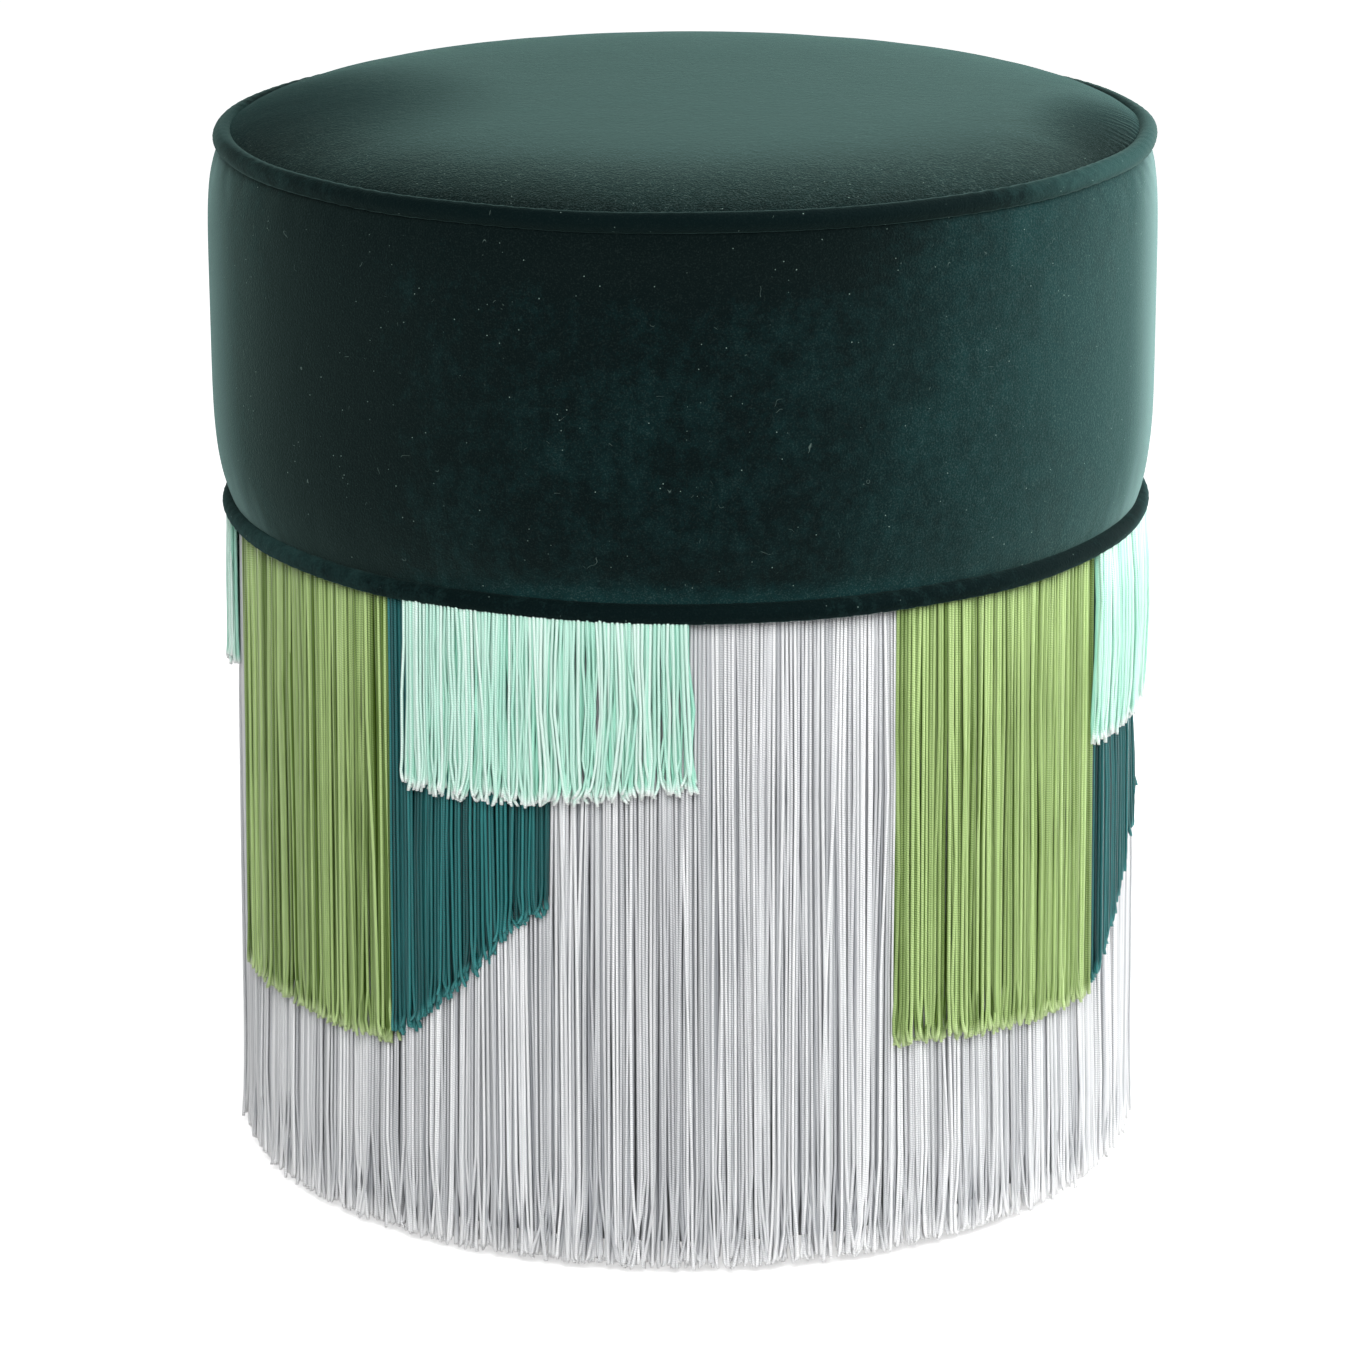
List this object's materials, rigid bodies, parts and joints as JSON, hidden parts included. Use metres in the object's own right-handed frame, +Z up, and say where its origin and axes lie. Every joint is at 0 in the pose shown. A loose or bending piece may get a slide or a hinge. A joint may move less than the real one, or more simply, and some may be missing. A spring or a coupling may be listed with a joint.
{
  "type": "pouf",
  "caption": "Round upholstered pouf with a crowned velvet seat, corded welts and a full-length skirt of thread fringe in colour blocks.",
  "frame": {"origin": "on the floor under the centre of the seat", "axes": "+Z up; -Y is the side that faces the camera; +X is to the right seen from the front"},
  "size_m": [0.4042, 0.4042, 0.4593],
  "materials": {
    "plywood": "plain birch plywood",
    "pine": "planed pine",
    "steel": "zinc plated",
    "glide_plastic": "matt black",
    "foam": "polyurethane foam",
    "batting": "polyester batting",
    "cord": "cotton piping cord",
    "velvet": "bottle green velvet",
    "lining": "woven cotton",
    "dust_cloth": "black spunbond",
    "grey_thread": "silver grey chainette fringe",
    "green_thread": "leaf green chainette fringe",
    "teal_thread": "dark teal chainette fringe",
    "mint_thread": "mint chainette fringe"
  },
  "bodies": {
    "root": {"drum_wall": "plywood", "base_board": "plywood", "middle_ring": "plywood", "seat_board": "plywood", "post_1": "pine", "post_2": "pine", "post_3": "pine", "post_4": "pine", "seat_screw_1": "steel", "seat_screw_2": "steel", "seat_screw_3": "steel", "seat_screw_4": "steel", "base_screw_1": "steel", "base_screw_2": "steel", "base_screw_3": "steel", "base_screw_4": "steel", "glide_screw_1": "steel", "glide_screw_2": "steel", "glide_screw_3": "steel", "glide_screw_4": "steel", "glide_1": "glide_plastic", "glide_2": "glide_plastic", "glide_3": "glide_plastic", "glide_4": "glide_plastic", "side_foam": "foam", "seat_foam": "foam", "seat_batting": "batting", "upper_welt_cord": "cord", "lower_welt_cord": "cord", "velvet_seat": "velvet", "velvet_band": "velvet", "upper_welt": "velvet", "lower_welt": "velvet", "drum_lining": "lining", "dust_cloth": "dust_cloth", "grey_fringe": "grey_thread", "green_panel_1": "green_thread", "green_panel_2": "green_thread", "green_panel_3": "green_thread", "green_panel_4": "green_thread", "teal_panel_1": "teal_thread", "teal_panel_2": "teal_thread", "teal_panel_3": "teal_thread", "teal_panel_4": "teal_thread", "mint_panel_1": "mint_thread", "mint_panel_2": "mint_thread", "mint_panel_3": "mint_thread", "mint_panel_4": "mint_thread"}
  },
  "joints": []
}
